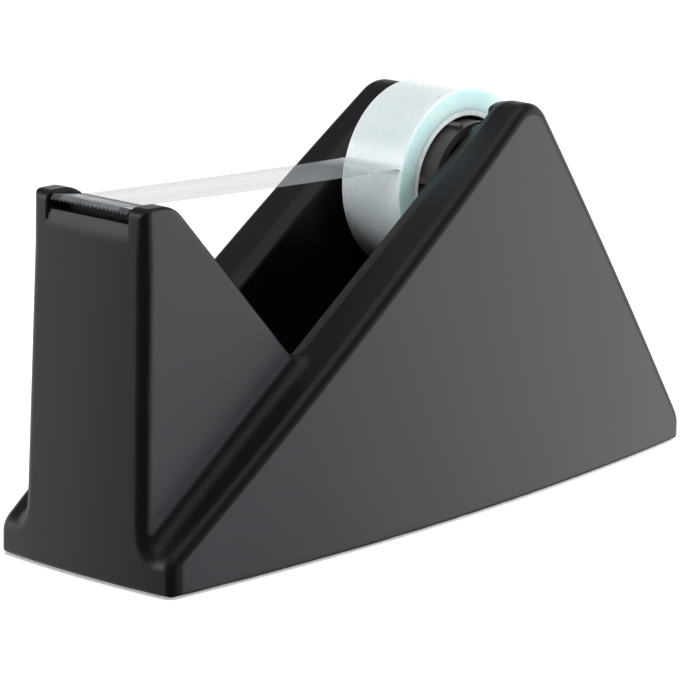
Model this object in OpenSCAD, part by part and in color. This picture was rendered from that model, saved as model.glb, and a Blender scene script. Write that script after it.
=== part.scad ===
// Weighted desk tape dispenser: two wedge cheeks with a slot between them, a cutter tower at the
// front and a roll of clear film tape on a hub. Millimetres, +Z up, the tower faces -Y.

/* [Body] */
// Length of the body from the tower's front to the tail
body_l = 160; // [150:1:172]
// Width of the body at its widest place
body_w = 47; // [45:0.2:54]
// Distance of the widest place behind the front
widest_y = 38; // [34:1:44]
// Radius of the bowed outer faces in plan
side_bow_r = 635; // [600:5:900]
// Radius of the bowed front in plan
front_bow_r = 208; // [160:2:400]
// Height of the nose, where the rim starts
nose_h = 5.6; // [5:0.1:8]
// Slope of the rim above the level, in degrees
rim_angle = 36.4; // [34:0.1:38]
// Distance behind the front where the rim and the back edge would meet
apex_y = 102; // [100:0.1:105]
// Radius of the rounded apex of each cheek
apex_r = 7; // [4:0.5:9]
// Height of the tail's end
tail_h = 5.2; // [5:0.1:8]
// Radius of the upright corners at the front
nose_corner_r = 1.5; // [1:0.5:3]
// Radius of the upright corners at the tail
tail_corner_r = 1.5; // [1:0.5:4]
// Wall of the moulded housing
wall = 2.4; // [2:0.1:2.6]

/* [Tower] */
// Height of the tower's ears above the body's lower edge
tower_h = 70; // [67:0.5:73]
// Width of the tower at the ears
tower_w = 29.4; // [29:0.1:31]
// How much wider the tower is at the body's lower edge
tower_flare = 2.6; // [0.6:0.1:3]
// Depth of the ears, front to back
ear_d = 9.6; // [9:0.1:11]
// Slope of the tower's rear face, in degrees
rear_angle = 47; // [45:0.5:49]
// Lean of the tower's front, in degrees back from upright
tower_lean = 1.5; // [0.5:0.1:2]
// Radius of the tower's upright front corners
tower_corner_r = 2; // [1:0.1:3]
// Radius of the ears' rear corners, seen from the side
ear_r = 2; // [1:0.1:4]
// Width of the tape channel between the ears
channel_w = 21; // [20.6:0.1:22]
// Depth of the tape rest below the ears
rest_drop = 1.6; // [1.2:0.1:2.2]
// Depth of the front wall's edge below the ears
lip_drop = 3.1; // [2.8:0.1:4.5]
// Height of the bevel on the front wall
lip_bevel_h = 2.4; // [1:0.1:6]
// Depth of the bevel on the front wall
lip_bevel_d = 0.8; // [0.5:0.1:1.6]

/* [Slot] */
// Width of the slot between the cheeks
slot_w = 22.8; // [22:0.1:24]
// Height of the slot's floor above the body's lower edge
slot_floor = 27; // [24:1:32]
// Distance of the slot's rear wall behind the front
slot_rear = 128.5; // [126:0.5:131]
// Width of the bevel along the slot's edges
bevel_w = 3.2; // [1.5:0.1:3.4]
// Depth of the bevel at the slot
bevel_d = 0.8; // [0.4:0.1:1.2]

/* [Roll] */
// Distance of the roll's axis behind the front
roll_y = 95.8; // [95:0.1:97]
// Height of the roll's axis above the body's lower edge
roll_z = 61.5; // [60.5:0.1:62.5]
// Outer diameter of the wound tape
roll_d = 37.4; // [32:0.1:44]
// Width of the tape
tape_w = 15; // [12:0.5:19]
// Bore of the tape's core
core_bore = 26.5; // [26:0.1:27]
// Wall of the tape's core
core_wall = 1; // [0.8:0.1:1.5]
// Angle above the level, on the roll's front, where the tape peels off
peel_angle = 15.5; // [5:0.5:30]
// Thickness of the tape's free lead
lead_t = 0.16; // [0.1:0.02:0.3]

/* [Hub] */
// Diameter of the hub's drum
drum_d = 24.8; // [24:0.1:25.2]
// Wall of the hub's drum
drum_wall = 1.6; // [1.2:0.1:2.2]
// Play between each end of the drum and the slot's wall
drum_play = 0.55; // [0.4:0.05:1]
// Thickness of the web in the middle of the drum
web_t = 2; // [1.5:0.1:3]
// Grip ribs around the drum
rib_count = 6; // [3:1:8]
// Width of a grip rib
rib_w = 1.2; // [0.8:0.1:2]
// Angle of the first grip rib above the level, on the roll's front
rib_start = 10; // [0:1:59]
// Diameter of the axle
axle_d = 5; // [4.4:0.1:6]
// Width of the axle across the flats at its ends
axle_flat = 4; // [3:0.1:4.2]
// Depth of each groove that holds the axle
groove_d = 1.8; // [1.5:0.1:3.4]

/* [Cutter] */
// Width of the steel blade
blade_w = 20; // [18:0.1:20.4]
// Thickness of the steel blade
blade_t = 0.5; // [0.4:0.05:0.7]
// Distance of the blade's front bend behind the tower's front
blade_front = 3.2; // [3:0.1:3.6]
// Height of the blade's front bend above its rear edge
blade_rise = 0.6; // [0.2:0.1:0.8]
// Depth of the blade's top, front to back
blade_d = 4.8; // [4:0.1:5.5]
// How far the toothed lip reaches forward of the bend
lip_reach = 1.2; // [0.7:0.1:1.4]
// How far the toothed lip falls
lip_fall = 1; // [0.5:0.1:1.2]
// Distance from tooth to tooth
tooth_pitch = 1; // [0.8:0.1:1.5]
// Depth of a tooth
tooth_d = 0.5; // [0.3:0.1:0.6]
// Length of the leg that holds the blade in its holder
leg_h = 2; // [1:0.1:3]

/* [Base] */
// Thickness of the base plate
base_t = 2.4; // [2.2:0.1:3]
// Width of the step in the housing that the base plate sits in
base_step = 1.2; // [0.8:0.1:1.4]
// How far the rubber pads stand below the housing
pad_proud = 0.5; // [0.3:0.1:1.5]
// Diameter of a rubber pad
pad_d = 9; // [6:0.5:9.5]
// Depth of the seat of a rubber pad in the base plate
pad_seat = 1; // [0.5:0.1:1.2]
// Diameter of a base screw's shank
screw_d = 2.6; // [2:0.1:3]
// Length of a base screw below its head
screw_l = 8; // [5:0.5:10]
// Height of a ballast weight above the base plate
ballast_h = 36; // [20:1:38]

/* [Hidden] */
$fn = 96;

black_plastic = [0.13, 0.13, 0.14];
steel = [0.78, 0.79, 0.8];
clear_film = [0.8, 0.88, 0.86, 0.8];

arc_steps = 6;
fit_gap = 0.1;
run_gap = 0.05;
soft_gap = 0.3;
over = 1;
far_off = 200;

side_c = [body_w / 2 - side_bow_r, widest_y];
front_c = [0, front_bow_r];
rim_k = tan(rim_angle);
apex_z = nose_h + apex_y * rim_k;
back_k = (apex_z - tail_h) / (body_l - apex_y);
back_angle = atan(back_k);
rear_k = tan(rear_angle);

slot_half = slot_w / 2;
tower_half = tower_w / 2;
tower_foot = tower_half + tower_flare / 2;
lip_z = tower_h - lip_drop;
rest_z = tower_h - rest_drop;
holder_h = 6.4;
holder_z = rest_z - holder_h;
peg_l = 4;
peg_r = 1.5;
peg_x = 6;
peg_y = 9;
roof_t = 2;
tower_roof = holder_z - peg_l - roof_t;
lean_k = tan(tower_lean);
channel_y = wall + tower_h * lean_k;
shade_gap = 1.2;

axle_r = axle_d / 2;
groove_half = axle_flat / 2 + fit_gap;
groove_x = slot_half + groove_d;
drum_half = slot_half - drum_play;
core_r = core_bore / 2 + core_wall;
roll_r = roll_d / 2;
rib_r = core_bore / 2 - fit_gap;
boss_r = axle_r + wall;

boss_wall = 2;
screw_boss_r = screw_d / 2 + boss_wall;
head_r = screw_d;
head_h = 1.3;
screw_top = fit_gap + head_h + screw_l;
screw_front_x = 15;
screw_front_y = 27;
screw_rear_x = 7.5;
screw_rear_gap = 24;
screws_at = [[screw_front_x, screw_front_y], [screw_rear_x, body_l - screw_rear_gap]];
pad_front_y = 13;
pad_rear_gap = 11.5;
pad_rim = 1;
pad_edge = base_step + fit_gap + pad_rim + pad_d / 2;
pads_at = [for (y = [pad_front_y, body_l - pad_rear_gap]) [half_at(y) - pad_edge, y]];
ballast_front = 34;
ballast_rear = 110;

// Places and sizes along the body, seen from the side as [y, z]
function slope_at(z) = ear_d + (tower_h - z) / rear_k;
function unit(v) = v / norm(v);
function half_at(y) = side_c.x + sqrt(pow(side_bow_r, 2) - pow(y - side_c.y, 2));
function roll_point(r, angle) = [roll_y - r * cos(angle), roll_z + r * sin(angle)];

// Points along an arc in equal steps, without its last point
function arc(c, r, from, to, steps) =
    [for (i = [0 : steps - 1]) let (a = from + (to - from) * i / steps) c + r * [cos(a), sin(a)]];

function angle_of(v) = atan2(v.y, v.x);

// The point where two circles cross, on the side nearer the front
function front_meet(a, ra, b, rb) =
    let (d = norm(b - a), u = (b - a) / d, s = (d * d + ra * ra - rb * rb) / (2 * d),
        t = sqrt(ra * ra - s * s) * [-u.y, u.x], p = a + s * u + t, q = a + s * u - t)
    p.y < q.y ? p : q;

// Stands the body on its pads, with the origin in the middle of its length
module placed() {
    translate([0, -body_l / 2, pad_proud]) children();
}

module both_sides() {
    children();
    mirror([1, 0, 0]) children();
}

// Draws a shape that is given from the side, as [y, z], across the body
module across(width) {
    rotate([90, 0, 90]) translate([0, 0, -width / 2]) linear_extrude(width) children();
}

// A round bar across the body on the roll's axis
module axis_bar(r, width) {
    translate([-width / 2, roll_y, roll_z]) rotate([0, 90, 0]) cylinder(r = r, h = width);
}

// What a round corner takes away, between its tangent directions m and n
module corner_waste(c, r, m, n) {
    difference() {
        polygon([c, c + r * m, c + 3 * r * unit(m + n), c + r * n]);
        translate(c) circle(r);
    }
}

// The right half of the body's outline seen from above, drawn in by inset
function half_plan(inset) =
    let (side_r = side_bow_r - inset, front_r = front_bow_r - inset,
        nose_r = max(nose_corner_r - inset, 0.5), tail_r = max(tail_corner_r - inset, 0.5),
        nose_c = front_meet(side_c, side_r - nose_r, front_c, front_r - nose_r),
        tail_y = body_l - inset - tail_r,
        tail_x = side_c.x + sqrt(pow(side_r - tail_r, 2) - pow(tail_y - side_c.y, 2)),
        tail_c = [tail_x, tail_y],
        front_end = angle_of(nose_c - front_c), side_start = angle_of(nose_c - side_c),
        side_end = angle_of(tail_c - side_c))
    concat(arc(front_c, front_r, -90, front_end, arc_steps),
        arc(nose_c, nose_r, front_end, side_start, arc_steps),
        arc(side_c, side_r, side_start, side_end, 3 * arc_steps),
        arc(tail_c, tail_r, side_end, 90, arc_steps),
        [tail_c + [0, tail_r]]);

// The body seen from above, drawn in by inset
module plan(inset) {
    half = half_plan(inset);
    last = len(half) - 1;
    polygon(concat(half, [for (i = [last : -1 : 1]) [-half[i].x, half[i].y]]));
}

// A cheek seen from the side, drawn in by inset
module cheek_side(inset) {
    rim_z = nose_h - inset / cos(rim_angle);
    back_z = apex_z + back_k * apex_y - inset / cos(back_angle);
    peak_y = (back_z - rim_z) / (rim_k + back_k);
    peak = [peak_y, rim_z + rim_k * peak_y];
    r = max(apex_r - inset, 1);
    back_out = unit([back_k, 1]);
    c = peak - r / cos((rim_angle + back_angle) / 2) * unit(unit([-rim_k, 1]) + back_out);
    end_y = body_l + over;
    polygon(concat([[-over, -over], [-over, rim_z - rim_k * over]],
        arc(c, r, 90 + rim_angle, 90 - back_angle, 2 * arc_steps), [c + r * back_out],
        [[end_y, back_z - back_k * end_y], [end_y, -over]]));
}

// Keeps what lies inside the body's outline, drawn in by inset
module in_plan(inset) {
    intersection() {
        translate([0, 0, -over * sign(inset)]) linear_extrude(far_off / 2) plan(inset);
        union() children();
    }
}

// The slot seen from the side; its front end is reach ahead of the tower's rear face
module slot_side(grown, reach) {
    top_z = far_off / 2;
    low_z = slot_floor - grown;
    polygon([[slope_at(low_z) - reach, low_z], [slot_rear + grown, low_z],
        [slot_rear + grown, top_z], [slope_at(top_z) - reach, top_z]]);
}

// Bevels along the slot's two upper edges, from inside the tower to the apex
module slot_bevels() {
    start = 2 * ear_d;
    slope = bevel_d / bevel_w;
    both_sides() translate([0, 0, nose_h]) rotate([rim_angle, 0, 0]) translate([slot_half, far_off, 0])
        rotate([90, 0, 0]) linear_extrude(far_off - start)
        polygon([[bevel_w + over, over * slope], [bevel_w + over, 2 * over], [-over, 2 * over],
            [-over, -bevel_d - over * slope]]);
}

// The tower as a solid block with its bowed, leaning front, drawn in by inset and cut off at top_z
module tower_block(inset, top_z) {
    low_z = slot_floor - wall;
    end_y = slope_at(low_z);
    half_at_top = tower_foot - tower_flare / 2 * top_z / tower_h - inset;
    half_low = tower_foot - inset;
    ear_c = [ear_d - ear_r * tan(rear_angle / 2), tower_h - ear_r];
    intersection() {
        translate([0, far_off / 2, 0]) rotate([90, 0, 0]) linear_extrude(far_off)
            polygon([[half_low, 0], [half_at_top, top_z], [-half_at_top, top_z], [-half_low, 0]]);
        across(far_off) polygon(concat([[-2 * over, over], [-2 * over, tower_h]],
            arc(ear_c, ear_r, 90, 90 - rear_angle, arc_steps),
            [ear_c + ear_r * [sin(rear_angle), cos(rear_angle)], [end_y, low_z], [end_y, over]]));
        translate([0, 0, nose_h]) rotate([-tower_lean, 0, 0]) translate([0, front_bow_r, -far_off / 2])
            cylinder(r = front_bow_r - inset, h = far_off);
    }
}

// Where the round of a tower's front corner is centred at height z, seen from above
function corner_at(z) =
    let (x = tower_foot - tower_flare / 2 * z / tower_h - tower_corner_r)
    [x, front_bow_r - sqrt(pow(front_bow_r - tower_corner_r, 2) - x * x) + (z - nose_h) * lean_k];

module tower() {
    low_c = corner_at(0);
    shift = corner_at(tower_h) - low_c;
    difference() {
        tower_block(0, tower_h);
        both_sides() translate([low_c.x, low_c.y, 0])
            rotate([-atan(shift.y / tower_h), atan(shift.x / tower_h), 0])
            translate([0, 0, -over]) linear_extrude(tower_h + 2 * over)
            corner_waste([0, 0], tower_corner_r, unit([low_c.x, low_c.y - front_bow_r]), [1, 0]);
    }
}

// What stays solid inside the hollow: the axle's bosses and the screws' bosses
module inner_bosses() {
    translate([-groove_x - wall, roll_y - groove_half - wall, roll_z - boss_r])
        cube([2 * (groove_x + wall), 2 * (groove_half + wall), far_off]);
    both_sides() for (at = screws_at)
        translate([at.x, at.y, -2 * over]) cylinder(r = screw_boss_r, h = far_off);
}

module hollow() {
    difference() {
        in_plan(wall) {
            across(far_off) cheek_side(wall);
            tower_block(wall, tower_roof);
        }
        across(slot_w + 2 * wall) slot_side(wall, wall / sin(rear_angle));
        inner_bosses();
    }
}

// The open channel between the ears and the pocket below it for the blade holder
module tower_top() {
    bevel_k = lip_bevel_h / lip_bevel_d;
    face_y = (lip_z - nose_h) * lean_k;
    across(channel_w) {
        translate([-over, lip_z]) square([far_off / 4, far_off]);
        translate([channel_y, holder_z]) square([far_off / 4, far_off]);
        polygon([[face_y - over, lip_z - lip_bevel_h - bevel_k * over], [face_y + lip_bevel_d, lip_z],
            [face_y + lip_bevel_d, tower_h], [face_y - over, tower_h]]);
    }
    both_sides() translate([peg_x, peg_y, holder_z - peg_l - fit_gap])
        cylinder(r = peg_r + run_gap, h = holder_h);
}

module axle_grooves() {
    both_sides() translate([slot_half - over, roll_y - groove_half, roll_z - axle_r - run_gap])
        cube([groove_d + over, 2 * groove_half, far_off]);
}

module housing() {
    color(black_plastic) placed() difference() {
        in_plan(0) {
            difference() {
                across(far_off) cheek_side(0);
                across(slot_w) slot_side(0, 2 * wall);
                slot_bevels();
            }
            tower();
        }
        hollow();
        tower_top();
        axle_grooves();
        translate([0, 0, -over]) linear_extrude(base_t + over) plan(base_step);
        both_sides() for (at = screws_at) translate([at.x, at.y, 0])
            cylinder(r = screw_d / 2 + run_gap, h = screw_top + over);
    }
}

module base_plate() {
    color(black_plastic) placed() difference() {
        linear_extrude(base_t) plan(base_step + fit_gap);
        both_sides() {
            for (at = pads_at) translate([at.x, at.y, -over])
                cylinder(r = pad_d / 2 + fit_gap, h = pad_seat + over);
            for (at = screws_at) translate([at.x, at.y, -over]) {
                cylinder(r = screw_d / 2 + fit_gap, h = base_t + 2 * over);
                cylinder(r = head_r + fit_gap, h = head_h + fit_gap + over);
            }
        }
    }
}

// Cast weight in the right cheek, beside the slot's wall
module ballast() {
    inset = wall + 2 * soft_gap;
    color([0.45, 0.45, 0.44]) placed() in_plan(inset) intersection() {
        across(far_off) cheek_side(inset);
        translate([slot_half + wall + soft_gap, ballast_front, base_t])
            cube([far_off, ballast_rear - ballast_front, ballast_h]);
    }
}

module ballast_left() {
    mirror([1, 0, 0]) ballast();
}

module ballast_right() {
    ballast();
}

module pad(side, at) {
    color([0.09, 0.09, 0.09]) placed() translate([side * at.x, at.y, -pad_proud])
        cylinder(d = pad_d, h = pad_proud + pad_seat);
}

module pad_front_left() {
    pad(-1, pads_at[0]);
}

module pad_front_right() {
    pad(1, pads_at[0]);
}

module pad_rear_left() {
    pad(-1, pads_at[1]);
}

module pad_rear_right() {
    pad(1, pads_at[1]);
}

module base_screws() {
    color(steel) placed() both_sides() for (at = screws_at) translate([at.x, at.y, fit_gap]) {
        cylinder(r = head_r, h = head_h);
        cylinder(d = screw_d, h = head_h + screw_l);
    }
}

// Insert between the ears: the shelf that the tape rests on, with a slit for the blade's leg
module blade_holder() {
    front_y = channel_y + shade_gap;
    leg_y = blade_front + blade_d - blade_t;
    color(black_plastic) placed() {
        across(channel_w - 2 * fit_gap) difference() {
            polygon([[front_y, holder_z], [front_y, rest_z], [slope_at(rest_z), rest_z],
                [slope_at(holder_z), holder_z]]);
            translate([leg_y - run_gap, rest_z - leg_h - fit_gap])
                square([blade_t + 2 * run_gap, leg_h + over]);
        }
        both_sides() translate([peg_x, peg_y, holder_z - peg_l])
            cylinder(r = peg_r, h = peg_l + over);
    }
}

// Steel strip with a top that rises forward, a rear leg and a toothed lip that slopes down at the front
module cutter_blade() {
    top_z = rest_z + blade_t;
    bend_z = top_z + blade_rise;
    tip_y = blade_front - lip_reach;
    end_y = blade_front + blade_d;
    teeth = floor(blade_w / tooth_pitch);
    start_x = -teeth * tooth_pitch / 2;
    color(steel) placed() intersection() {
        across(blade_w) polygon([[tip_y, bend_z - lip_fall], [blade_front, bend_z], [end_y, top_z],
            [end_y, rest_z - leg_h], [end_y - blade_t, rest_z - leg_h], [end_y - blade_t, rest_z],
            [blade_front, bend_z - blade_t]]);
        linear_extrude(2 * tower_h) polygon(concat(
            [[blade_w, blade_front + tooth_d], [blade_w, far_off], [-blade_w, far_off],
            [-blade_w, blade_front + tooth_d], [start_x, tip_y + tooth_d]],
            [for (i = [0 : 2 * teeth]) [start_x + i * tooth_pitch / 2, tip_y + (i % 2 == 0 ? tooth_d : 0)]]));
    }
}

// Fixed pin whose flattened ends stand in the grooves of the slot's walls
module hub_axle() {
    end_x = groove_x - soft_gap;
    neck_x = slot_half - soft_gap;
    color(black_plastic) placed() difference() {
        axis_bar(axle_r, 2 * end_x);
        both_sides() for (y = [axle_flat / 2, -axle_flat / 2 - axle_d])
            translate([neck_x, roll_y + y, roll_z - axle_d]) cube([axle_d, axle_d, 2 * axle_d]);
    }
}

// Drum with a middle web, a bearing boss and grip ribs that hold the tape's core
module hub_drum() {
    rib_l = 2 * drum_half - 1;
    inner_r = drum_d / 2 - drum_wall;
    side_l = drum_half - web_t / 2;
    color(black_plastic) placed() difference() {
        union() {
            difference() {
                axis_bar(drum_d / 2, 2 * drum_half);
                both_sides() translate([web_t / 2 + side_l / 2 + over / 2, 0, 0])
                    axis_bar(inner_r, side_l + over);
            }
            axis_bar(boss_r, 2 * drum_half - 1);
            for (i = [0 : rib_count - 1]) translate([0, roll_y, roll_z])
                rotate([180 - rib_start - i * 360 / rib_count, 0, 0])
                translate([-rib_l / 2, drum_d / 2 - drum_wall / 2, -rib_w / 2])
                cube([rib_l, rib_r - drum_d / 2 + drum_wall / 2, rib_w]);
        }
        axis_bar(axle_r + run_gap, 2 * drum_half + 2 * over);
    }
}

module tape_core() {
    color("white") placed() difference() {
        axis_bar(core_r, tape_w);
        axis_bar(core_bore / 2, tape_w + over);
    }
}

module tape_winding() {
    color(clear_film) placed() difference() {
        axis_bar(roll_r, tape_w);
        axis_bar(core_r, tape_w + over);
    }
}

// The free stretch of film, from where it peels off the roll to the blade's teeth
module tape_lead() {
    low_z = rest_z + blade_t + fit_gap;
    front_z = low_z + blade_rise;
    peel = roll_point(roll_r + soft_gap, peel_angle);
    start_y = blade_front - lip_reach / 2;
    bend_y = blade_front + blade_d;
    color(clear_film) placed() across(tape_w)
        polygon([[start_y, front_z], [start_y, front_z + lead_t], [bend_y, low_z + lead_t],
            peel + [0, lead_t], peel, [bend_y, low_z]]);
}

housing();
base_plate();
ballast_left();
ballast_right();
pad_front_left();
pad_front_right();
pad_rear_left();
pad_rear_right();
base_screws();
blade_holder();
cutter_blade();
hub_axle();
hub_drum();
tape_core();
tape_winding();
tape_lead();
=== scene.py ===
import math

import bpy
import numpy as np
from mathutils import Matrix, Vector


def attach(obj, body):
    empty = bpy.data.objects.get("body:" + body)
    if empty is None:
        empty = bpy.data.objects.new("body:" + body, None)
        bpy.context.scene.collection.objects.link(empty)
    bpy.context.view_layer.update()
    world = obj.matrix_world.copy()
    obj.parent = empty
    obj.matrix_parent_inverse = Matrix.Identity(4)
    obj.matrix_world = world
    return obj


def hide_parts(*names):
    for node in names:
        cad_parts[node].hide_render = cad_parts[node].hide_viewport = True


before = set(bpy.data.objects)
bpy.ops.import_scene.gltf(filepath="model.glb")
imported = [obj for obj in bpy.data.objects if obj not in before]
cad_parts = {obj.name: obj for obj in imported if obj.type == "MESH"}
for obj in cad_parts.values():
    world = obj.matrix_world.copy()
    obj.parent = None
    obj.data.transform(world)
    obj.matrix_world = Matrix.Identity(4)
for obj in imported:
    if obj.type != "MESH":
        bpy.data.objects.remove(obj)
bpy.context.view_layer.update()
print("frame loaded")

bodyLength = 160  # sizes of pieces are in millimetres
liftOff = 0.5     # the rubber pads hold the housing this far above the desk


def toMetres(points):
    # from the housing's own millimetres (y from the tower's front, z from its lower edge)
    shifted = np.asarray(points, float) + np.array([0, -bodyLength / 2, liftOff])
    return shifted / 1000


view = dict(place=(0.57233, -0.62739, 0.2288), aim=(0.02228, -0.03477, 0.04132),
            roll=0.762, lens=237.8)


def makeCamera(settings):
    data = bpy.data.cameras.new("photoView")
    data.lens = settings["lens"]
    data.sensor_width = 36
    data.clip_start = 0.05
    data.clip_end = 50
    camera = bpy.data.objects.new("photoView", data)
    bpy.context.scene.collection.objects.link(camera)
    place = Vector(settings["place"])
    ahead = (Vector(settings["aim"]) - place).normalized()
    turn = ahead.to_track_quat("-Z", "Y").to_matrix().to_4x4()
    roll = Matrix.Rotation(math.radians(settings["roll"]), 4, "Z")
    camera.matrix_world = Matrix.Translation(place) @ turn @ roll
    bpy.context.scene.camera = camera


makeCamera(view)
bpy.context.scene.view_settings.view_transform = "Standard"
print("camera placed")


class Nodes:
    def __init__(self, tree):
        self.tree = tree

    def add(self, kind, **settings):
        node = self.tree.nodes.new(kind)
        for name, value in settings.items():
            setattr(node, name, value)
        return node

    def put(self, node, socket, value):
        # a link where the value is another node's output, else a plain number or colour
        if isinstance(value, bpy.types.NodeSocket):
            self.tree.links.new(value, node.inputs[socket])
        else:
            node.inputs[socket].default_value = value

    def noise(self, scale, detail, vector, roughness=0.5):
        node = self.add("ShaderNodeTexNoise")
        self.put(node, "Scale", scale)
        node.inputs["Detail"].default_value = detail
        node.inputs["Roughness"].default_value = roughness
        self.put(node, "Vector", vector)
        return node.outputs["Fac"]

    def remap(self, value, low, high, newLow, newHigh):
        node = self.add("ShaderNodeMapRange")
        self.put(node, "Value", value)
        ends = {"From Min": low, "From Max": high, "To Min": newLow, "To Max": newHigh}
        for name, number in ends.items():
            self.put(node, name, number)
        return node.outputs["Result"]

    def spread(self, noise, low, high):
        # a noise's middle values stretched from low to high
        return self.remap(noise, 0.3, 0.7, low, high)

    def mix(self, factor, a, b):
        node = self.add("ShaderNodeMix", data_type="RGBA")
        self.put(node, 0, factor)
        self.put(node, 6, a)
        self.put(node, 7, b)
        return node.outputs[2]

    def math(self, operation, a, b):
        node = self.add("ShaderNodeMath", operation=operation)
        self.put(node, 0, a)
        self.put(node, 1, b)
        return node.outputs[0]

    def vector(self, operation, a, b, output="Vector"):
        node = self.add("ShaderNodeVectorMath", operation=operation)
        self.put(node, 0, a)
        self.put(node, 1, b)
        return node.outputs[output]

    def axes(self, vector):
        node = self.add("ShaderNodeSeparateXYZ")
        self.put(node, 0, vector)
        return node.outputs

    def bump(self, height, strength, distance):
        node = self.add("ShaderNodeBump")
        node.inputs["Strength"].default_value = strength
        node.inputs["Distance"].default_value = distance
        self.put(node, "Height", height)
        return node.outputs["Normal"]


def newMaterial(name):
    material = bpy.data.materials.new(name)
    material.use_nodes = True
    material.node_tree.nodes.clear()
    nodes = Nodes(material.node_tree)
    out = nodes.add("ShaderNodeOutputMaterial")
    surface = nodes.add("ShaderNodeBsdfPrincipled")
    nodes.put(out, "Surface", surface.outputs[0])
    place = nodes.add("ShaderNodeTexCoord").outputs["Object"]
    return material, nodes, surface, place


def newGroup(name, inputs, outputs):
    group = bpy.data.node_groups.new(name, "ShaderNodeTree")
    kinds = dict(color="NodeSocketColor", value="NodeSocketFloat", vector="NodeSocketVector")
    for label, kind in inputs:
        group.interface.new_socket(name=label, in_out="INPUT", socket_type=kinds[kind])
    for label, kind in outputs:
        group.interface.new_socket(name=label, in_out="OUTPUT", socket_type=kinds[kind])
    nodes = Nodes(group)
    start = nodes.add("NodeGroupInput")
    end = nodes.add("NodeGroupOutput")
    return group, nodes, start.outputs, end


# noise scales are per metre and bump depths in metres, as the shaders take them
moulded = dict(scale=2600, broadScale=38, speckle=0.4, cloud=0.22, bump=0.1, depth=0.0002)
drawn = dict(scale=900, detail=4, roughness=0.6, darker=0.8, bump=0.15, depth=0.0001)


def makeGrainGroup():
    # fine moulded grain: a speckled colour, a roughness and a height
    group, nodes, given, end = newGroup(
        "mouldedGrain",
        [("Place", "vector"), ("Tone", "color"), ("Grain Scale", "value"), ("Speckle", "value"),
         ("Cloud", "value"), ("Gloss Low", "value"), ("Gloss High", "value")],
        [("Color", "color"), ("Roughness", "value"), ("Height", "value")])
    fine = nodes.noise(given["Grain Scale"], 3, given["Place"])
    broad = nodes.noise(moulded["broadScale"], 3, given["Place"])
    speckle = nodes.math("MULTIPLY", nodes.math("SUBTRACT", fine, 0.5), given["Speckle"])
    cloud = nodes.math("MULTIPLY", nodes.math("SUBTRACT", broad, 0.5), given["Cloud"])
    level = nodes.math("ADD", nodes.math("ADD", speckle, cloud), 1)
    toned = nodes.add("ShaderNodeVectorMath", operation="SCALE")
    nodes.put(toned, 0, given["Tone"])
    nodes.put(toned, "Scale", level)
    nodes.put(end, "Color", toned.outputs[0])
    nodes.put(end, "Roughness", nodes.spread(broad, given["Gloss Low"], given["Gloss High"]))
    nodes.put(end, "Height", fine)
    return group


grainGroup = makeGrainGroup()


def placeGrain(nodes, place, tone, scale, speckle, glossLow, glossHigh):
    node = nodes.add("ShaderNodeGroup")
    node.node_tree = grainGroup
    given = {"Place": place, "Tone": tone, "Grain Scale": scale, "Speckle": speckle,
             "Cloud": moulded["cloud"], "Gloss Low": glossLow, "Gloss High": glossHigh}
    for name, value in given.items():
        nodes.put(node, name, value)
    return node.outputs


housing = dict(
    # cheeks, seen from above and from the side
    halfWidth=23.5, widestY=38, sideRadius=635, frontRadius=208, noseHeight=5.6, rimAngle=36.4,
    apexY=102, apexRound=7, tailHeight=5.2, tailRound=1.5, rimRound=2.0, footRound=0.7,
    # tower; its front corners are rounded by height
    towerHeight=70, towerHalf=14.7, towerFlare=1.3, earDepth=9.6, rearAngle=47, lean=1.5,
    earRound=2, towerEdge=0.8, towerFillet=3.2, filletStart=0.5, filletReach=2.5,
    cornerHeights=(4, 12, 60, 70), cornerRounds=(1.3, 2.3, 2.3, 1.7),
    # channel between the ears
    channelHalf=10.5, restDrop=1.6, holderHeight=6.4, lipDrop=3.1, lipBevelHeight=2.4,
    lipBevelDepth=0.8, channelY=4.23, channelEdge=0.3,
    # slot for the roll, and the grooves for its axle
    slotHalf=11.4, slotFloor=27, slotRear=128.5, slotEdge=0.6, bevelWidth=3.2, bevelDepth=0.8,
    rollY=95.8, rollZ=61.5, grooveX=13.2, grooveHalf=2.1, grooveDrop=2.55, grooveEdge=0.2,
    # the tower's grained sides, by how far the surface faces sideways, and the room round them
    sidewaysFrom=0.9, sidewaysTo=0.99, sideRoom=0.3,
    # recess for the base plate
    baseStep=1.2, baseThick=2.4,
    # mesh: grid cell, room round the body, share of faces kept, reach of the normals' slope
    cell=0.52, margin=0.2, gridTop=80, keptFaces=0.4, normalReach=0.15)


def roundBoth(a, b, r):
    # what two solids share, its edge rounded with radius r
    return np.minimum(np.maximum(a, b), -r) + np.hypot(np.maximum(a + r, 0), np.maximum(b + r, 0))


def roundEither(a, b, r):
    # two solids joined, the inner corner filled with radius r
    return np.maximum(np.minimum(a, b), r) - np.hypot(np.maximum(r - a, 0), np.maximum(r - b, 0))


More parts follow.
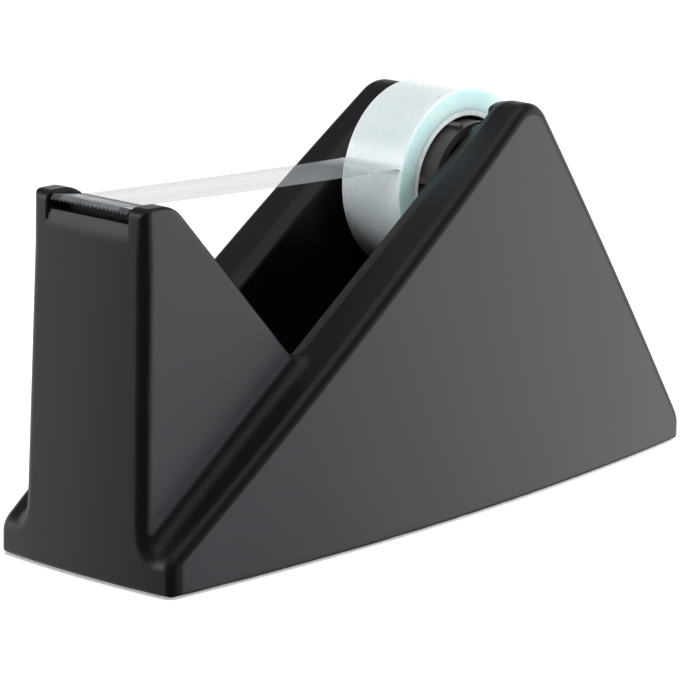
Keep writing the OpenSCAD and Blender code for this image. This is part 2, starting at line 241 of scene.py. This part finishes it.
def housingField(x, y, z):
    # distance to the housing's surface in millimetres, below zero inside
    h = housing
    ax = np.abs(x)
    rimK = math.tan(math.radians(h["rimAngle"]))
    apexZ = h["noseHeight"] + rimK * h["apexY"]
    backK = (apexZ - h["tailHeight"]) / (bodyLength - h["apexY"])
    rearAngle = math.radians(h["rearAngle"])
    leanK = math.tan(math.radians(h["lean"]))
    side = np.hypot(ax - (h["halfWidth"] - h["sideRadius"]), y - h["widestY"]) - h["sideRadius"]
    tail = y - bodyLength
    bow = h["frontRadius"] - np.sqrt(h["frontRadius"] ** 2 - ax ** 2)
    front = bow - y + leanK * np.maximum(z - h["noseHeight"], 0)
    rim = (z - h["noseHeight"] - rimK * y) * math.cos(math.atan(rimK))
    dip = np.clip((h["slotHalf"] + h["bevelWidth"] - ax) / h["bevelWidth"], 0, 1)
    rim = rim + h["bevelDepth"] * dip
    back = (z - h["tailHeight"] - backK * (bodyLength - y)) * math.cos(math.atan(backK))
    top = roundBoth(rim, back, h["apexRound"])
    cheeks = roundBoth(roundBoth(side, tail, h["tailRound"]), top, h["rimRound"])
    slot = np.maximum(np.maximum(ax - h["slotHalf"], h["slotFloor"] - z), y - h["slotRear"])
    cheeks = roundBoth(cheeks, -slot, h["slotEdge"])
    # the tower and the fillet at its foot
    half = h["towerHalf"] + h["towerFlare"] * (1 - z / h["towerHeight"])
    flank = ax - half
    rear = (y - h["earDepth"] - (h["towerHeight"] - z) / math.tan(rearAngle)) * math.sin(rearAngle)
    tower = roundBoth(rear, z - h["towerHeight"], h["earRound"])
    tower = roundBoth(flank, tower, h["towerEdge"])
    fillet = np.interp(ax, [h["slotHalf"], h["slotHalf"] + h["filletReach"]],
                       [h["filletStart"], h["towerFillet"]])
    solid = roundEither(cheeks, tower, fillet)
    solid = roundBoth(solid, front, np.interp(z, h["cornerHeights"], h["cornerRounds"]))
    solid = roundBoth(solid, -z, h["footRound"])
    # the channel between the ears, with the bevelled front wall
    lipZ = h["towerHeight"] - h["lipDrop"]
    pocketZ = h["towerHeight"] - h["restDrop"] - h["holderHeight"]
    faceY = (lipZ - h["noseHeight"]) * leanK
    bevel = (y - bow - faceY) * h["lipBevelHeight"]
    bevel = bevel - (z - lipZ + h["lipBevelHeight"]) * h["lipBevelDepth"]
    bevel = bevel / math.hypot(h["lipBevelHeight"], h["lipBevelDepth"])
    pocket = np.maximum(pocketZ - z, h["channelY"] - y)
    channel = np.maximum(ax - h["channelHalf"], np.minimum(np.minimum(lipZ - z, pocket), bevel))
    solid = roundBoth(solid, -channel, h["channelEdge"])
    # grooves for the axle, and the step that the base plate sits in
    groove = np.maximum(np.maximum(ax - h["grooveX"], np.abs(y - h["rollY"]) - h["grooveHalf"]),
                        h["rollZ"] - h["grooveDrop"] - z)
    solid = roundBoth(solid, -groove, h["grooveEdge"])
    recess = np.maximum(np.maximum(side, tail), bow - y) + h["baseStep"]
    return np.maximum(solid, -np.maximum(recess, z - h["baseThick"]))


def gradient(field, points, reach=0.04):
    # the field's slope at each point, which stands square to the surface
    parts = []
    for axis in range(3):
        step = np.zeros(3)
        step[axis] = reach
        ahead = field(*(points + step).T)
        behind = field(*(points - step).T)
        parts.append((ahead - behind) / (2 * reach))
    return np.stack(parts, -1)


def meshFromField(field, low, high, cell):
    # one vertex in each cell that the surface crosses, one quad for each crossed grid edge
    axes = [np.arange(a - 2 * cell, b + 2 * cell, cell) for a, b in zip(low, high)]
    grid = np.meshgrid(*axes, indexing="ij")
    values = field(*grid)
    inside = values < 0
    corners = [(i, j, k) for i in (0, 1) for j in (0, 1) for k in (0, 1)]
    size = [n - 1 for n in values.shape]

    def cellCorner(array, c):
        return array[c[0]:c[0] + size[0], c[1]:c[1] + size[1], c[2]:c[2] + size[2]]

    count = sum(cellCorner(inside, c).astype(np.int8) for c in corners)
    active = (count > 0) & (count < 8)
    cells = np.argwhere(active)
    index = -np.ones(size, int)
    index[active] = np.arange(len(cells))
    total = np.zeros((len(cells), 3))
    crossings = np.zeros((len(cells), 1))
    for a in corners:
        for b in corners:
            if sum(b) - sum(a) != 1 or sum(abs(q - p) for p, q in zip(a, b)) != 1:
                continue
            va = cellCorner(values, a)[active]
            vb = cellCorner(values, b)[active]
            crossed = ((va < 0) != (vb < 0))[:, None]
            share = (va / np.where(va == vb, 1, va - vb))[:, None]
            point = np.array(a) + share * (np.array(b) - np.array(a))
            total += np.where(crossed, point, 0)
            crossings += crossed
    start = np.array([axis[0] for axis in axes])
    points = start + cell * (cells + total / crossings)
    faces = []
    for axis in range(3):
        first, second = (axis + 1) % 3, (axis + 2) % 3
        ahead = np.roll(inside, -1, axis)
        changed = inside != ahead
        edge = [slice(1, -1)] * 3
        edge[axis] = slice(0, -1)
        found = np.argwhere(changed[tuple(edge)])
        found += np.array([0 if k == axis else 1 for k in range(3)])
        stepA, stepB = np.eye(3, dtype=int)[first], np.eye(3, dtype=int)[second]
        ring = [found, found - stepA, found - stepA - stepB, found - stepB]
        quad = np.stack([index[tuple(p.T)] for p in ring], -1)
        flip = ~inside[tuple(found.T)]
        quad[flip] = quad[flip][:, ::-1]
        faces.append(quad)
    for _ in range(3):
        slope = gradient(field, points)
        length = np.maximum((slope ** 2).sum(-1, keepdims=True), 0.2)
        move = -field(*points.T)[:, None] * slope / length
        points = points + np.clip(move, -0.4 * cell, 0.4 * cell)
    return points, np.concatenate(faces)


def addMesh(name, points, faces, smooth=True):
    mesh = bpy.data.meshes.new(name)
    mesh.from_pydata([tuple(p) for p in points], [], [tuple(int(i) for i in f) for f in faces])
    mesh.update()
    mesh.validate()
    mesh.polygons.foreach_set("use_smooth", [smooth] * len(mesh.polygons))
    piece = bpy.data.objects.new(name, mesh)
    bpy.context.scene.collection.objects.link(piece)
    return piece


def applyModifiers(piece):
    deps = bpy.context.evaluated_depsgraph_get()
    mesh = bpy.data.meshes.new_from_object(piece.evaluated_get(deps))
    piece.modifiers.clear()
    piece.data = mesh


def vertexArray(mesh):
    flat = np.zeros(len(mesh.vertices) * 3, np.float32)
    mesh.vertices.foreach_get("co", flat)
    return flat.reshape(-1, 3).astype(float)


def makeHousing():
    side = housing["halfWidth"] + housing["margin"]
    high = (side, bodyLength, housing["gridTop"])
    low = (-side, 0, 0)
    points, faces = meshFromField(housingField, low, high, housing["cell"])
    piece = addMesh("housingShell", toMetres(points), faces)
    thin = piece.modifiers.new("thin", "DECIMATE")
    thin.ratio = housing["keptFaces"]
    applyModifiers(piece)
    mesh = piece.data
    mesh.polygons.foreach_set("use_smooth", [True] * len(mesh.polygons))
    local = vertexArray(mesh) * 1000 - np.array([0, -bodyLength / 2, liftOff])
    normals = gradient(housingField, local, housing["normalReach"])
    normals /= np.maximum(np.linalg.norm(normals, axis=1, keepdims=True), 1e-6)
    mesh.normals_split_custom_set_from_vertices([tuple(n) for n in normals])
    # 1 on the tower's grained sides, 0 elsewhere; the cheeks' grain is placed in the material
    turned = [housing["sidewaysFrom"], housing["sidewaysTo"]]
    sideways = np.interp(np.abs(normals[:, 0]), turned, [0, 1])
    innermost = housing["grooveX"] + housing["sideRoom"]
    outermost = housing["towerHalf"] + housing["towerFlare"] + housing["sideRoom"]
    rimLine = housing["noseHeight"] + math.tan(math.radians(housing["rimAngle"])) * local[:, 1]
    ax = np.abs(local[:, 0])
    onTower = (ax > innermost) & (ax < outermost) & (local[:, 2] > rimLine)
    finish = np.where(onTower, sideways, 0)
    layer = mesh.attributes.new("finish", "FLOAT", "POINT")
    layer.data.foreach_set("value", finish.astype(np.float32))
    print("housing faces", len(mesh.polygons))
    return piece


plastic = dict(
    rimTone=(0.0035, 0.0036, 0.0048, 1), flankTone=(0.029, 0.030, 0.034, 1),
    grain=2600, speckle=0.5, glossLow=0.36, glossHigh=0.42, flankGloss=0.28,
    flankCoat=1.0, coatGloss=0.66, specular=0.5, ior=1.5, bump=0.025,
    # where the cheeks' finish ends, in millimetres from the rim, the front corner and the side
    blend=0.12, cornerFrom=2.4, cornerTo=3.4, sideFrom=0.6, sideTo=0.3)


def makeCheekGroup():
    # 1 on the cheeks' flat grained sides, 0 on the rims, the rounded edges and all the rest
    h, blend = housing, plastic["blend"] / 1000
    group, nodes, given, end = newGroup("cheekMask", [("Place", "vector")], [("Mask", "value")])
    rimK = math.tan(math.radians(h["rimAngle"]))
    apexZ = h["noseHeight"] + rimK * h["apexY"]
    backK = (apexZ - h["tailHeight"]) / (bodyLength - h["apexY"])
    half, lift = bodyLength / 2000, liftOff / 1000

    def plane(slope, height):
        # distance above a slanting plane through the given height at the front or the back
        scale = math.cos(math.atan(slope))
        along = nodes.vector("DOT_PRODUCT", given["Place"], (0, -slope * scale, scale), "Value")
        return nodes.math("SUBTRACT", along, scale * (height / 1000 + lift + abs(slope) * half))

    rim = plane(rimK, h["noseHeight"])
    back = plane(-backK, h["tailHeight"])
    r = h["apexRound"] / 1000
    rimPart = nodes.math("MAXIMUM", nodes.math("ADD", rim, r), 0)
    backPart = nodes.math("MAXIMUM", nodes.math("ADD", back, r), 0)
    squares = nodes.math("ADD", nodes.math("MULTIPLY", rimPart, rimPart),
                         nodes.math("MULTIPLY", backPart, backPart))
    lower = nodes.math("MINIMUM", nodes.math("MAXIMUM", rim, back), -r)
    top = nodes.math("ADD", lower, nodes.math("SQRT", squares, 0))
    below = nodes.remap(top, -h["rimRound"] / 1000, -h["rimRound"] / 1000 - blend, 0, 1)
    axes = nodes.axes(given["Place"])
    ax = nodes.math("ABSOLUTE", axes["X"], 0)
    bow = nodes.math("MULTIPLY", nodes.math("MULTIPLY", ax, ax), 1000 / (2 * h["frontRadius"]))
    ahead = nodes.math("SUBTRACT", nodes.math("ADD", axes["Y"], half), bow)
    behindCorner = nodes.remap(ahead, plastic["cornerFrom"] / 1000, plastic["cornerTo"] / 1000, 0, 1)
    off = nodes.math("SUBTRACT", axes["Y"], h["widestY"] / 1000 - half)
    waist = nodes.math("MULTIPLY", nodes.math("MULTIPLY", off, off), 1000 / (2 * h["sideRadius"]))
    outward = nodes.math("ADD", ax, waist)
    outside = nodes.remap(outward, (h["halfWidth"] - plastic["sideFrom"]) / 1000,
                          (h["halfWidth"] - plastic["sideTo"]) / 1000, 0, 1)
    nodes.put(end, "Mask", nodes.math("MULTIPLY", nodes.math("MULTIPLY", below, behindCorner), outside))
    return group


def makeHousingPlastic():
    material, nodes, surface, place = newMaterial("housingPlastic")
    tower = nodes.add("ShaderNodeAttribute", attribute_name="finish").outputs["Fac"]
    cheek = nodes.add("ShaderNodeGroup")
    cheek.node_tree = makeCheekGroup()
    nodes.put(cheek, "Place", place)
    mask = nodes.math("MAXIMUM", cheek.outputs["Mask"], tower)
    tone = nodes.mix(mask, plastic["rimTone"], plastic["flankTone"])
    grain = placeGrain(nodes, place, tone, plastic["grain"], plastic["speckle"],
                       plastic["glossLow"], plastic["glossHigh"])
    nodes.put(surface, "Base Color", grain["Color"])
    sheen = nodes.remap(mask, 0, 1, 0, plastic["flankGloss"] - plastic["glossLow"])
    nodes.put(surface, "Roughness", nodes.math("ADD", grain["Roughness"], sheen))
    nodes.put(surface, "Coat Weight", nodes.remap(mask, 0, 1, 0, plastic["flankCoat"]))
    surface.inputs["Coat Roughness"].default_value = plastic["coatGloss"]
    surface.inputs["Specular IOR Level"].default_value = plastic["specular"]
    surface.inputs["IOR"].default_value = plastic["ior"]
    nodes.put(surface, "Normal", nodes.bump(grain["Height"], plastic["bump"], moulded["depth"]))
    return material


def makePlainPlastic(name, tone, glossLow, glossHigh, scale=moulded["scale"], bump=moulded["bump"]):
    material, nodes, surface, place = newMaterial(name)
    grain = placeGrain(nodes, place, tone, scale, moulded["speckle"], glossLow, glossHigh)
    nodes.put(surface, "Base Color", grain["Color"])
    nodes.put(surface, "Roughness", grain["Roughness"])
    nodes.put(surface, "Normal", nodes.bump(grain["Height"], bump, moulded["depth"]))
    return material


def makeMetal(name, tone, glossLow, glossHigh, stretch):
    # drawn or turned steel; a small number in stretch draws the lines out along that axis
    material, nodes, surface, place = newMaterial(name)
    along = nodes.vector("MULTIPLY", place, stretch)
    lines = nodes.noise(drawn["scale"], drawn["detail"], along, drawn["roughness"])
    darker = tuple(c * drawn["darker"] for c in tone[:3]) + (1,)
    nodes.put(surface, "Base Color", nodes.mix(nodes.spread(lines, 0, 1), tone, darker))
    nodes.put(surface, "Roughness", nodes.spread(lines, glossLow, glossHigh))
    nodes.put(surface, "Normal", nodes.bump(lines, drawn["bump"], drawn["depth"]))
    surface.inputs["Metallic"].default_value = 1
    return material


housingPlastic = makeHousingPlastic()
shell = makeHousing()
shell.data.materials.append(housingPlastic)
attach(shell, "base")
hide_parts("housing")
print("housing made")


roll = dict(
    radius=18.7, coreRadius=14.25, half=7.5, edge=0.35, y=housing["rollY"], z=housing["rollZ"],
    turns=144, rings=9, ripple=0.05, seamAngle=15.5, seamStep=0.14,
    outsideTones=((0.71, 0.775, 0.76, 1), (0.69, 0.76, 0.75, 1)),
    faceTones=((0.62, 0.83, 0.785, 1), (0.57, 0.79, 0.79, 1)),
    # the first colour below is the white of the painted sheen and the painted edge highlight; the next
    # line sets the painted sheen's blend and level
    paintedLightTone=(0.95, 0.97, 0.98, 1), patchScale=120, glossScale=300, glossLow=0.24, glossHigh=0.36,
    paintedSheenBlend=0.2, paintedSheenLevel=0.85, faceFrom=7.1, faceTo=7.4,
    # painted highlight along the outer edges: strong on the roll's left side, weak on the rest
    highlightLeft=0.9, highlightRight=0.22, highlightFrom=-5.5, highlightTo=-7.5,
    softness=0.45, softRadius=(0.8, 1.0, 0.95), softScale=0.003, coat=0.3, coatGloss=0.15,
    bumpScale=420, bump=0.08, bumpDepth=0.0003)
lead = dict(
    half=roll["half"], thick=0.12, rollGap=0.3, rollRise=0.1, sag=0.35, curl=0.12, rows=60, steps=30,
    # the blade that it rests on, and how far it hangs over the teeth
    restZ=housing["towerHeight"] - housing["restDrop"], bladeThick=0.5, gap=0.08,
    bladeY=3.2, bladeRise=0.6, bladeDepth=4.8, reach=1.2, fall=1.0, overhang=0.8,
    tipRise=0.06, toothCut=0.3,
    tones=((0.21, 0.235, 0.24, 1), (0.26, 0.285, 0.29, 1)), rollTone=(0.92, 0.96, 0.95, 1),
    # next: the film's clearness, then a painted highlight along the seam, where the film turns nearly
    # opaque and pale towards the roll
    clearLow=0.28, clearHigh=0.33, seamHighlight=0.65, seamHighlightFrom=1.1, seamHighlightTo=0.2, paleReach=9,
    streakScale=420, streaks=(1.0, 0.015, 0.015), glossLow=0.25, glossHigh=0.35, specular=0.12,
    bump=0.02, bumpDepth=0.0001)


def rollProfile():
    # section of the winding as (radius, x): from the middle of its outside, once round
    r0, r1, w, e = roll["coreRadius"], roll["radius"], roll["half"], roll["edge"]
    outer = [(r1, x) for x in (*np.linspace(0, w - e - 0.2, 4), w - e)]
    for a in (30, 60):
        outer.append((r1 - e + e * math.cos(math.radians(a)), w - e + e * math.sin(math.radians(a))))
    count = roll["rings"] * 4
    ring = np.linspace(r1 - e, r0, count + 1)
    wave = roll["ripple"] * (0.5 - 0.5 * np.cos(np.linspace(0, 2 * np.pi * roll["rings"], count + 1)))
    face = [(r, w - d) for r, d in zip(ring, wave)]
    half = outer + face
    mirrored = [(r, -x) for r, x in half[::-1]]
    return half + mirrored[:-1]


def makeWinding():
    profile = rollProfile()
    points, faces = [], []
    turns, n = roll["turns"], len(profile)
    seam = math.radians(180 - roll["seamAngle"])
    for i in range(turns + 1):
        angle = seam - 2 * math.pi * i / turns
        grow = -roll["seamStep"] * (1 - i / turns)
        for r, x in profile:
            share = (r - roll["coreRadius"]) / (roll["radius"] - roll["coreRadius"])
            radius = r + grow * share
            y, z = roll["y"] + radius * math.cos(angle), roll["z"] + radius * math.sin(angle)
            points.append((x, y, z))
    for i in range(turns):
        for j in range(n):
            k = (j + 1) % n
            faces.append((i * n + j, i * n + k, (i + 1) * n + k, (i + 1) * n + j))
    # the step at the seam, where the outer turn's end stands proud
    for j in range(n):
        k = (j + 1) % n
        faces.append((turns * n + j, turns * n + k, k, j))
    piece = addMesh("filmWinding", toMetres(points), faces)
    # 1 along the two outer edges, where the material paints a highlight
    inset = roll["edge"] + 0.05
    inHighlight = [abs(x) > roll["half"] - inset and r > roll["radius"] - inset for r, x in profile]
    layer = piece.data.attributes.new("edge", "FLOAT", "POINT")
    layer.data.foreach_set("value", np.tile(np.array(inHighlight, np.float32), turns + 1))
    return piece


def peelPoint():
    # (y, z) of the line where the film leaves the roll
    radius = roll["radius"] + lead["rollGap"]
    peel = math.radians(roll["seamAngle"])
    return roll["y"] - radius * math.cos(peel), roll["z"] + radius * math.sin(peel)


def leadPath():
    # (y, z) along the film, from the roll to the teeth
    start = np.array(peelPoint()) + np.array([0, lead["rollRise"]])
    topZ = lead["restZ"] + lead["bladeThick"] + lead["gap"]
    bend = np.array([lead["bladeY"] + lead["bladeDepth"], topZ])
    crest = np.array([lead["bladeY"], topZ + lead["bladeRise"]])
    tip = crest - lead["overhang"] * np.array([lead["reach"], lead["fall"]])
    path = []
    for t in np.linspace(0, 1, lead["rows"]):
        drop = lead["sag"] * 4 * t * (1 - t) * (1 - 0.4 * t)   # most of it nearer to the roll
        path.append(start + (bend - start) * t - np.array([0, drop]))
    for t in np.linspace(0, 1, 6)[1:]:
        path.append(bend + (crest - bend) * t)
    path.append((crest + tip) / 2 + np.array([0, lead["tipRise"]]))
    path.append(tip)
    return path


def makeLead():
    path = leadPath()
    n = lead["steps"] + 1
    points, faces = [], []
    last = len(path) - 1
    for i, (y, z) in enumerate(path):
        for j in range(n):
            x = -lead["half"] + 2 * lead["half"] * j / lead["steps"]
            curl = lead["curl"] * (x / lead["half"]) ** 2 * math.sin(math.pi * i / last)
            cut = lead["toothCut"] * (j % 2) if i == last else 0
            points.append((x, y + cut, z + curl))
    for i in range(last):
        for j in range(n - 1):
            a = i * n + j
            faces.append((a, a + n, a + n + 1, a + 1))
    piece = addMesh("filmLead", toMetres(points), faces)
    thick = piece.modifiers.new("thick", "SOLIDIFY")
    thick.thickness = lead["thick"] / 1000
    thick.offset = 1
    applyModifiers(piece)
    piece.data.polygons.foreach_set("use_smooth", [True] * len(piece.data.polygons))
    return piece


def makeWindingFilm():
    material, nodes, surface, place = newMaterial("woundFilm")
    acrossRoll = nodes.axes(place)["X"]
    side = nodes.remap(nodes.math("ABSOLUTE", acrossRoll, 0),
                       roll["faceFrom"] / 1000, roll["faceTo"] / 1000, 0, 1)
    patches = nodes.remap(nodes.noise(roll["patchScale"], 3, place), 0.35, 0.65, 0, 1)
    outside = nodes.mix(patches, *roll["outsideTones"])
    face = nodes.mix(patches, *roll["faceTones"])
    # painted sheen: the colour turns whiter where the film is seen at a grazing angle
    paintedSheenFacing = nodes.add("ShaderNodeLayerWeight")
    paintedSheenFacing.inputs["Blend"].default_value = roll["paintedSheenBlend"]
    rim = nodes.remap(paintedSheenFacing.outputs["Facing"], 0.25, 0.7, 0, roll["paintedSheenLevel"])
    # painted highlight along the outer edges, stronger on the roll's left side
    edge = nodes.add("ShaderNodeAttribute", attribute_name="edge").outputs["Fac"]
    strength = nodes.remap(acrossRoll, roll["highlightFrom"] / 1000, roll["highlightTo"] / 1000,
                           roll["highlightRight"], roll["highlightLeft"])
    # the larger of the painted sheen and the painted edge highlight whitens the colour
    glow = nodes.math("MAXIMUM", rim, nodes.math("MULTIPLY", edge, strength))
    nodes.put(surface, "Base Color", nodes.mix(glow, nodes.mix(side, outside, face), roll["paintedLightTone"]))
    gloss = nodes.spread(nodes.noise(roll["glossScale"], 2, place), roll["glossLow"], roll["glossHigh"])
    nodes.put(surface, "Roughness", gloss)
    surface.inputs["Subsurface Weight"].default_value = roll["softness"]
    surface.inputs["Subsurface Radius"].default_value = roll["softRadius"]
    surface.inputs["Subsurface Scale"].default_value = roll["softScale"]
    surface.inputs["Coat Weight"].default_value = roll["coat"]
    surface.inputs["Coat Roughness"].default_value = roll["coatGloss"]
    waves = nodes.noise(roll["bumpScale"], 3, place)
    nodes.put(surface, "Normal", nodes.bump(waves, roll["bump"], roll["bumpDepth"]))
    return material


def makeLeadFilm():
    material, nodes, surface, place = newMaterial("clearFilm")
    lines = nodes.noise(lead["streakScale"], 1, nodes.vector("MULTIPLY", place, lead["streaks"]))
    tint = nodes.mix(nodes.spread(lines, 0, 1), *lead["tones"])
    along = nodes.axes(place)["Y"]
    seamY = (peelPoint()[0] - bodyLength / 2) / 1000
    seamHighlight = nodes.remap(along, seamY - lead["seamHighlightFrom"] / 1000, seamY - lead["seamHighlightTo"] / 1000,
                        0, lead["seamHighlight"])   # painted highlight: the last strip before the roll is made nearly opaque
    # the colour turns pale towards the roll; with the nearly opaque strip this paints the highlight
    # along the seam
    near = nodes.remap(along, seamY - lead["paleReach"] / 1000, seamY, 0, 1)
    nodes.put(surface, "Base Color", nodes.mix(near, tint, lead["rollTone"]))
    film = nodes.spread(lines, lead["clearLow"], lead["clearHigh"])
    nodes.put(surface, "Alpha", nodes.math("ADD", film, seamHighlight))
    nodes.put(surface, "Roughness", nodes.spread(lines, lead["glossLow"], lead["glossHigh"]))
    surface.inputs["Specular IOR Level"].default_value = lead["specular"]
    nodes.put(surface, "Normal", nodes.bump(lines, lead["bump"], lead["bumpDepth"]))
    return material


winding = makeWinding()
winding.data.materials.append(makeWindingFilm())
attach(winding, "roll")
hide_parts("tape_winding")
strip = makeLead()
strip.data.materials.append(makeLeadFilm())
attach(strip, "axle")
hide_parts("tape_lead")
print("film made")


# the frame's own pieces keep their shape and get a finish
kept = dict(
    base_plate=makePlainPlastic("basePlastic", (0.02, 0.02, 0.021, 1), 0.45, 0.6),
    blade_holder=makePlainPlastic("holderPlastic", (0.012, 0.012, 0.013, 1), 0.4, 0.5),
    hub_drum=makePlainPlastic("hubPlastic", (0.045, 0.038, 0.038, 1), 0.3, 0.42),
    tape_core=makePlainPlastic("coreCard", (0.82, 0.90, 0.90, 1), 0.6, 0.75, 900, 0.3),
    cutter_blade=makeMetal("bladeSteel", (0.78, 0.79, 0.80, 1), 0.18, 0.32, (0.1, 1, 1)),
    base_screws=makeMetal("screwSteel", (0.6, 0.61, 0.62, 1), 0.3, 0.45, (1, 1, 1)),
    ballast_left=makePlainPlastic("castIron", (0.05, 0.05, 0.05, 1), 0.7, 0.85, 700, 0.6))
kept["hub_axle"] = kept["hub_drum"]
kept["ballast_right"] = kept["ballast_left"]
rubber = makePlainPlastic("padRubber", (0.018, 0.018, 0.018, 1), 0.7, 0.85, 1500, 0.3)
for end in ("front", "rear"):
    for hand in ("left", "right"):
        kept["pad_" + end + "_" + hand] = rubber
softEdges = dict(blade_holder=0.25, hub_drum=0.25, tape_core=0.2)
for name, material in kept.items():
    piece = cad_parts[name]
    piece.data.materials.clear()
    piece.data.materials.append(material)
    if name in softEdges:
        bevel = piece.modifiers.new("softEdge", "BEVEL")
        bevel.width = softEdges[name] / 1000
        bevel.segments = 2
        bevel.limit_method = "ANGLE"
        bevel.angle_limit = math.radians(50)
print("kept pieces finished")


def seenRays(nodes, mirrored=1):
    # 1 for rays that show the background: straight, through film, and in gloss as mirrored says
    rays = nodes.add("ShaderNodeLightPath").outputs
    straight = nodes.math("MAXIMUM", rays["Is Camera Ray"], rays["Is Transmission Ray"])
    return nodes.math("MAXIMUM", straight, nodes.math("MULTIPLY", rays["Is Glossy Ray"], mirrored))


def blendShaders(nodes, factor, a, b):
    node = nodes.add("ShaderNodeMixShader")
    nodes.put(node, 0, factor)
    nodes.put(node, 1, a)
    nodes.put(node, 2, b)
    return node.outputs[0]


desk = dict(half=6, tones=((0.86, 0.86, 0.86, 1), (0.88, 0.88, 0.88, 1)), glow=0.36,
            fadeFrom=0.5, fadeTo=1.2)   # metres


def makeFloor():
    half = desk["half"]
    corners = [(-half, -half, 0), (half, -half, 0), (half, half, 0), (-half, half, 0)]
    floor = addMesh("deskTop", corners, [(0, 1, 2, 3)], False)
    material = bpy.data.materials.new("deskWhite")
    material.use_nodes = True
    material.node_tree.nodes.clear()
    nodes = Nodes(material.node_tree)
    out = nodes.add("ShaderNodeOutputMaterial")
    place = nodes.add("ShaderNodeTexCoord").outputs["Object"]
    matte = nodes.add("ShaderNodeBsdfDiffuse")
    nodes.put(matte, "Color", nodes.mix(nodes.spread(nodes.noise(3, 2, place), 0, 1), *desk["tones"]))
    glow = nodes.add("ShaderNodeEmission")
    glow.inputs["Strength"].default_value = desk["glow"]
    backdrop = nodes.add("ShaderNodeEmission")
    lifted = nodes.add("ShaderNodeAddShader")
    nodes.put(lifted, 0, matte.outputs[0])
    nodes.put(lifted, 1, glow.outputs[0])
    # the glow is seen, but lights nothing, and the far floor runs into the white backdrop
    seen = seenRays(nodes)
    away = nodes.vector("LENGTH", place, (0, 0, 0), "Value")
    far = nodes.math("MULTIPLY", seen, nodes.remap(away, desk["fadeFrom"], desk["fadeTo"], 0, 1))
    near = blendShaders(nodes, seen, matte.outputs[0], lifted.outputs[0])
    nodes.put(out, "Surface", blendShaders(nodes, far, near, backdrop.outputs[0]))
    floor.data.materials.append(material)
    floor.visible_glossy = False   # reflections see the surroundings' lower half in its place


studio = dict(
    # the plain room, its right side, its left side, the zenith and a panel at the front left
    plain=0.05, tint=(0.965, 0.975, 1.06, 1), horizon=-0.1, skyFrom=0.10, skyTo=0.50,
    rightLevel=1.0, rightEdge=(-0.349, 0.937, 0), rightTilt=1.9, rightFrom=-0.025, rightTo=0.07,
    fadeFrom=0.80, fadeTo=0.97, fadeLevel=0.72,
    leftLevel=0.95, leftFrom=-0.45, leftTo=-0.86,
    aboveLevel=0.45, aboveFrom=0.72, aboveTo=0.95,
    panelLevel=4.0, panelSide=(-0.66, -0.70, 0.27), panelFrom=0.95, panelTo=0.985)
lamps = dict(
    keyPanel=dict(place=(0.35, -0.50, 0.80), size=(0.45, 0.45), power=6.8),
    rearPanel=dict(place=(-0.35, 0.55, 0.75), size=(0.5, 0.5), power=2.0),
    sidePanel=dict(place=(0.40, 0.44, 0.28), size=(0.4, 0.3), power=4.2))
lampAim = Vector((0, 0, 0.04))


def makeWorld():
    # a soft room: bright low down on the right and the left, dark above and in front
    world = bpy.data.worlds.new("studio")
    bpy.context.scene.world = world
    world.use_nodes = True
    world.node_tree.nodes.clear()
    nodes = Nodes(world.node_tree)
    room = studio
    out = nodes.add("ShaderNodeOutputWorld")
    dome = nodes.add("ShaderNodeBackground")
    direction = nodes.add("ShaderNodeTexCoord").outputs["Generated"]
    axes = nodes.axes(direction)
    low = nodes.remap(axes["Z"], room["skyFrom"], room["skyTo"], 1, 0)
    across = nodes.vector("DOT_PRODUCT", direction, room["rightEdge"], "Value")
    tilt = nodes.math("MULTIPLY", nodes.math("MINIMUM", axes["Z"], room["horizon"]), room["rightTilt"])
    right = nodes.remap(nodes.math("ADD", across, tilt), room["rightFrom"], room["rightTo"],
                        0, room["rightLevel"])
    fade = nodes.remap(axes["Y"], room["fadeFrom"], room["fadeTo"], 1, room["fadeLevel"])
    right = nodes.math("MULTIPLY", right, fade)
    left = nodes.remap(axes["X"], room["leftFrom"], room["leftTo"], 0, room["leftLevel"])
    sides = nodes.math("MULTIPLY", nodes.math("MAXIMUM", right, left), low)
    above = nodes.remap(axes["Z"], room["aboveFrom"], room["aboveTo"], 0, room["aboveLevel"])
    lit = nodes.math("ADD", sides, above)
    toPanel = nodes.vector("DOT_PRODUCT", direction, room["panelSide"], "Value")
    panel = nodes.remap(toPanel, room["panelFrom"], room["panelTo"], room["plain"], room["panelLevel"])
    # straight rays see the white backdrop, and gloss sees it where the room is lit
    white = seenRays(nodes, lit)
    strength = nodes.add("ShaderNodeMix", data_type="FLOAT")
    nodes.put(strength, 0, white)
    nodes.put(strength, 2, nodes.math("ADD", lit, panel))
    nodes.put(strength, 3, 1.0)
    nodes.put(dome, "Strength", strength.outputs[0])
    nodes.put(dome, "Color", nodes.mix(white, room["tint"], (1, 1, 1, 1)))
    nodes.put(out, "Surface", dome.outputs[0])


def makeLamp(name, place, size, power):
    data = bpy.data.lights.new(name, "AREA")
    data.shape = "RECTANGLE"
    data.size, data.size_y = size
    data.energy = power
    lamp = bpy.data.objects.new(name, data)
    bpy.context.scene.collection.objects.link(lamp)
    lamp.location = place
    lamp.visible_glossy = False
    lamp.rotation_euler = (lampAim - Vector(place)).to_track_quat("-Z", "Y").to_euler()


makeFloor()
makeWorld()
for name, settings in lamps.items():
    makeLamp(name, **settings)
print("stage and light set")
